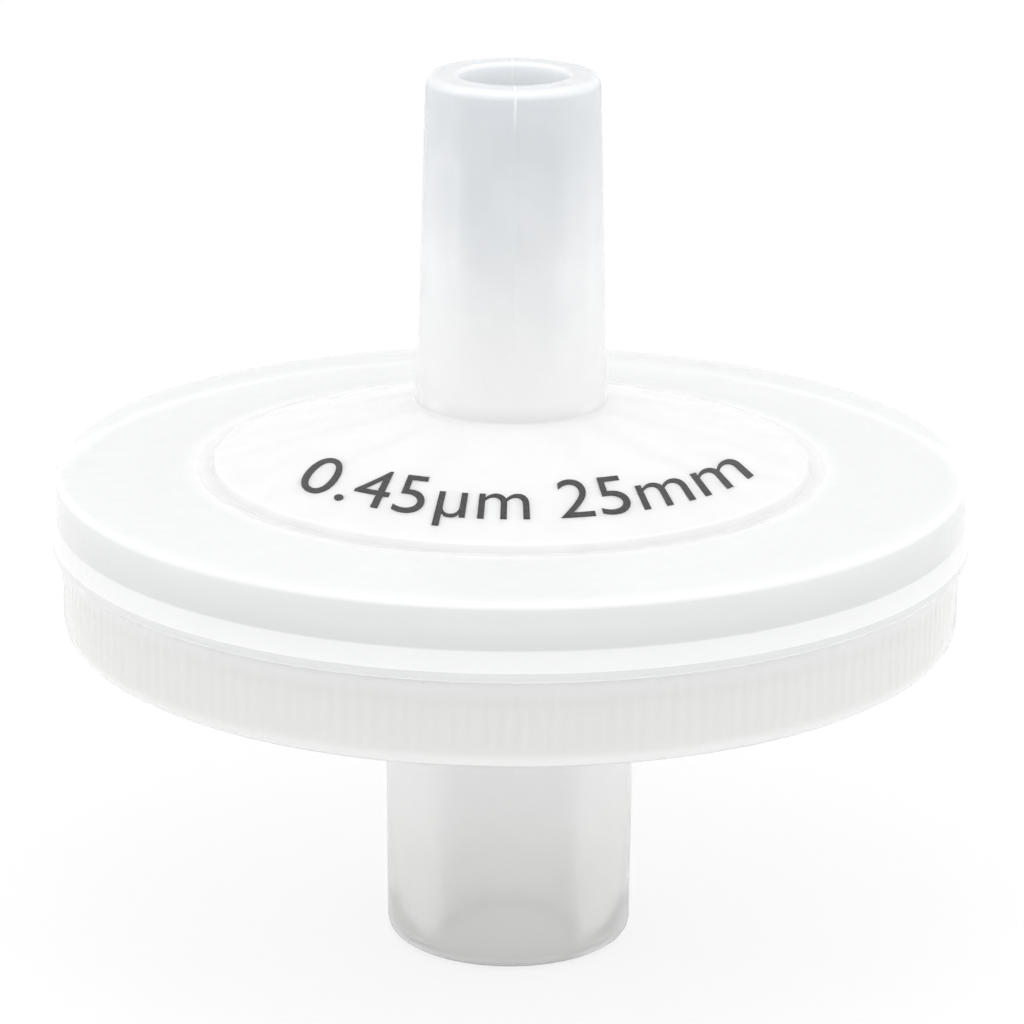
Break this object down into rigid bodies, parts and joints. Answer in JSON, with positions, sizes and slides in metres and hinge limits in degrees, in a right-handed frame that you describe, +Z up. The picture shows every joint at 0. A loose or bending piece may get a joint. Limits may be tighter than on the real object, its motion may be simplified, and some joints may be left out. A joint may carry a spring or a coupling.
{
  "type": "syringe filter",
  "caption": "Round disc filter with a slim tapered port above, a wider plain port below and a membrane sealed between two translucent shells.",
  "frame": {"origin": "centre of the lower port's rim, in the plane that the filter stands on", "axes": "+Z up along the axis of both ports, from the wide lower port to the slim upper port; X and Y are alike, because the filter is round"},
  "size_m": [0.0334, 0.0334, 0.0324],
  "materials": {
    "upper_housing": "natural polypropylene, translucent milky white, smooth moulded gloss",
    "lower_housing": "natural polypropylene, translucent milky white, satin with fine upright ribs on the wall",
    "membrane": "matt white porous sheet"
  },
  "bodies": {
    "root": {"lower_housing": "lower_housing", "membrane": "membrane", "upper_housing": "upper_housing"}
  },
  "joints": []
}
